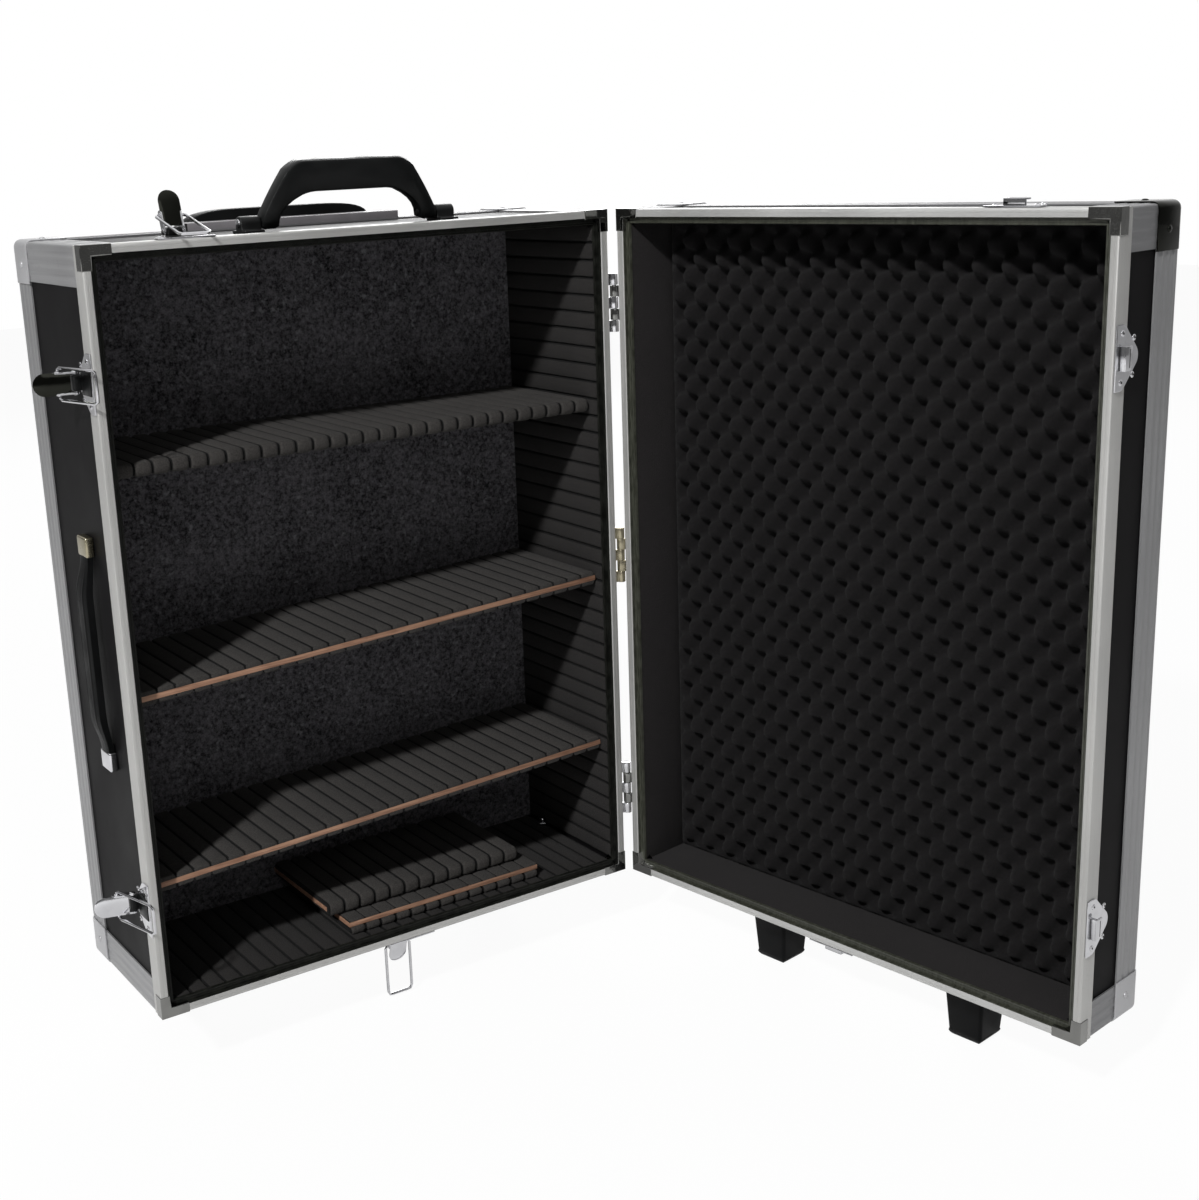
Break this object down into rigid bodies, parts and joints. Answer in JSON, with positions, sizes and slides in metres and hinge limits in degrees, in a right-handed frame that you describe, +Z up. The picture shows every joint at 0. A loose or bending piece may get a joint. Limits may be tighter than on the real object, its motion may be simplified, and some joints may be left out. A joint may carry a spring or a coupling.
{
  "type": "wheeled case",
  "caption": "Upright wheeled case in two hinged halves, with aluminium edges, foam lined shelves, egg-crate lid foam, draw latches, folding handles and a pull-out trolley handle.",
  "frame": {"origin": "middle of the bounding box on the floor, with the case standing upright and the lid open as in the picture", "axes": "+Z up, +Y towards the back of the body, +X towards the hinged side"},
  "size_m": [0.6546, 0.6452, 0.7312],
  "materials": {
    "aluminium": "satin",
    "chrome": "polished",
    "dark_chrome": "polished",
    "brassy_metal": "satin",
    "black_board": "satin",
    "black_plastic": "satin",
    "wall_foam": "matte",
    "back_foam": "matte",
    "egg_foam": "matte",
    "shelf_foam": "matte",
    "wheel_rubber": "matte"
  },
  "bodies": {
    "case_body": {"tub_rim": "aluminium", "tub_edge_frame": "aluminium", "tub_corner_free_low": "aluminium", "tub_corner_free_high": "aluminium", "tub_corner_hinge_low": "aluminium", "tub_corner_hinge_high": "aluminium", "tub_wall_boards": "black_board", "tub_back_board": "black_board", "tub_foam_walls": "wall_foam", "tub_foam_back": "back_foam", "tub_hinge_high": "chrome", "tub_hinge_middle": "brassy_metal", "tub_hinge_low": "chrome", "latch_base_top": "chrome", "latch_base_side_high": "chrome", "latch_base_side_low": "chrome", "latch_base_bottom": "chrome", "handle_bracket_free": "black_plastic", "handle_bracket_hinge": "black_plastic", "strap_cap_high": "brassy_metal", "strap_cap_low": "chrome", "strap_grip": "black_plastic", "trolley_housing": "black_plastic", "wheel_housing_free": "black_plastic", "wheel_housing_hinge": "black_plastic"},
    "lid": {"lid_rim": "aluminium", "lid_edge_frame": "aluminium", "lid_corner_free_low": "aluminium", "lid_corner_free_high": "aluminium", "lid_corner_hinge_low": "aluminium", "lid_corner_hinge_high": "aluminium", "lid_boards": "black_board", "lid_foam_walls": "wall_foam", "lid_egg_foam": "egg_foam", "lid_hinge_high": "chrome", "lid_hinge_middle": "brassy_metal", "lid_hinge_low": "chrome", "latch_keeper_top": "chrome", "latch_keeper_side_high": "chrome", "latch_keeper_side_low": "chrome", "latch_keeper_bottom": "chrome", "lid_foot_free": "black_plastic", "lid_foot_hinge": "black_plastic"},
    "shelf_upper": {"shelf_upper": "shelf_foam"},
    "shelf_middle": {"shelf_middle": "shelf_foam"},
    "shelf_lower": {"shelf_lower": "shelf_foam"},
    "spare_divider_lower": {"spare_divider_lower": "shelf_foam"},
    "spare_divider_upper": {"spare_divider_upper": "shelf_foam"},
    "carry_handle": {"carry_handle": "black_plastic"},
    "trolley_handle": {"trolley_handle": "black_plastic"},
    "wheel_free": {"wheel_free": "wheel_rubber"},
    "wheel_hinge": {"wheel_hinge": "wheel_rubber"},
    "latch_lever_top": {"latch_lever_top": "dark_chrome"},
    "latch_bail_top": {"latch_bail_top": "chrome"},
    "latch_lever_side_high": {"latch_lever_side_high": "dark_chrome"},
    "latch_bail_side_high": {"latch_bail_side_high": "chrome"},
    "latch_lever_side_low": {"latch_lever_side_low": "dark_chrome"},
    "latch_bail_side_low": {"latch_bail_side_low": "chrome"},
    "latch_lever_bottom": {"latch_lever_bottom": "dark_chrome"},
    "latch_bail_bottom": {"latch_bail_bottom": "chrome"}
  },
  "joints": [
    {"name": "lid_hinge", "type": "hinge", "parent": "case_body", "child": "lid", "pos_m": [0.17563, 0.14563, 0.374], "axis": [0, 0, 1], "range_deg": [-98.7, 81.3]},
    {"name": "lever_top", "type": "hinge", "parent": "case_body", "child": "latch_lever_top", "pos_m": [-0.21027, 0.17263, 0.683], "axis": [1, 0, 0], "range_deg": [-72, 0]},
    {"name": "bail_top", "type": "hinge", "parent": "latch_lever_top", "child": "latch_bail_top", "pos_m": [-0.21027, 0.17634, 0.69441], "axis": [1, 0, 0], "range_deg": [0, 59.21]},
    {"name": "lever_side_high", "type": "hinge", "parent": "case_body", "child": "latch_lever_side_high", "pos_m": [-0.29727, 0.17263, 0.579], "axis": [0, 0, 1], "range_deg": [-72, 0]},
    {"name": "bail_side_high", "type": "hinge", "parent": "latch_lever_side_high", "child": "latch_bail_side_high", "pos_m": [-0.30869, 0.17634, 0.579], "axis": [0, 0, 1], "range_deg": [0, 59.21]},
    {"name": "lever_side_low", "type": "hinge", "parent": "case_body", "child": "latch_lever_side_low", "pos_m": [-0.29727, 0.17263, 0.162], "axis": [0, 0, 1], "range_deg": [-72, 0]},
    {"name": "bail_side_low", "type": "hinge", "parent": "latch_lever_side_low", "child": "latch_bail_side_low", "pos_m": [-0.30869, 0.17634, 0.162], "axis": [0, 0, 1], "range_deg": [0, 59.21]},
    {"name": "lever_bottom", "type": "hinge", "parent": "case_body", "child": "latch_lever_bottom", "pos_m": [-0.06077, 0.17263, 0.063], "axis": [-1, 0, 0], "range_deg": [-72, 0]},
    {"name": "bail_bottom", "type": "hinge", "parent": "latch_lever_bottom", "child": "latch_bail_bottom", "pos_m": [-0.06077, 0.17634, 0.05159], "axis": [-1, 0, 0], "range_deg": [0, 164.15]},
    {"name": "handle_fold", "type": "hinge", "parent": "case_body", "child": "carry_handle", "pos_m": [-0.05627, 0.18563, 0.6845], "axis": [1, 0, 0], "range_deg": [-95, 78]},
    {"name": "trolley_draw", "type": "slide", "parent": "case_body", "child": "trolley_handle", "axis": [0, 0, 1], "range_m": [0, 0.4]},
    {"name": "wheel_spin_free", "type": "hinge", "parent": "case_body", "child": "wheel_free", "pos_m": [-0.22227, 0.27863, 0.029], "axis": [1, 0, 0], "continuous": true},
    {"name": "wheel_spin_hinge", "type": "hinge", "parent": "case_body", "child": "wheel_hinge", "pos_m": [0.10073, 0.27863, 0.029], "axis": [1, 0, 0], "continuous": true},
    {"name": "shelf_upper_draw", "type": "slide", "parent": "case_body", "child": "shelf_upper", "axis": [0, -1, 0], "range_m": [0, 0.14]},
    {"name": "shelf_middle_draw", "type": "slide", "parent": "case_body", "child": "shelf_middle", "axis": [0, -1, 0], "range_m": [0, 0.14]},
    {"name": "shelf_lower_draw", "type": "slide", "parent": "case_body", "child": "shelf_lower", "axis": [0, -1, 0], "range_m": [0, 0.14]},
    {"name": "spare_divider_lower_draw", "type": "slide", "parent": "case_body", "child": "spare_divider_lower", "axis": [0, -1, 0], "range_m": [0, 0.14]},
    {"name": "spare_divider_upper_draw", "type": "slide", "parent": "case_body", "child": "spare_divider_upper", "axis": [0, -1, 0], "range_m": [0, 0.14]}
  ],
  "couplings": [
    {"joint": "bail_top", "follows": "lever_top", "ratio": -0.82221},
    {"joint": "bail_side_high", "follows": "lever_side_high", "ratio": -0.82221},
    {"joint": "bail_side_low", "follows": "lever_side_low", "ratio": -0.82221},
    {"joint": "bail_bottom", "follows": "lever_bottom", "ratio": -2.2798}
  ]
}
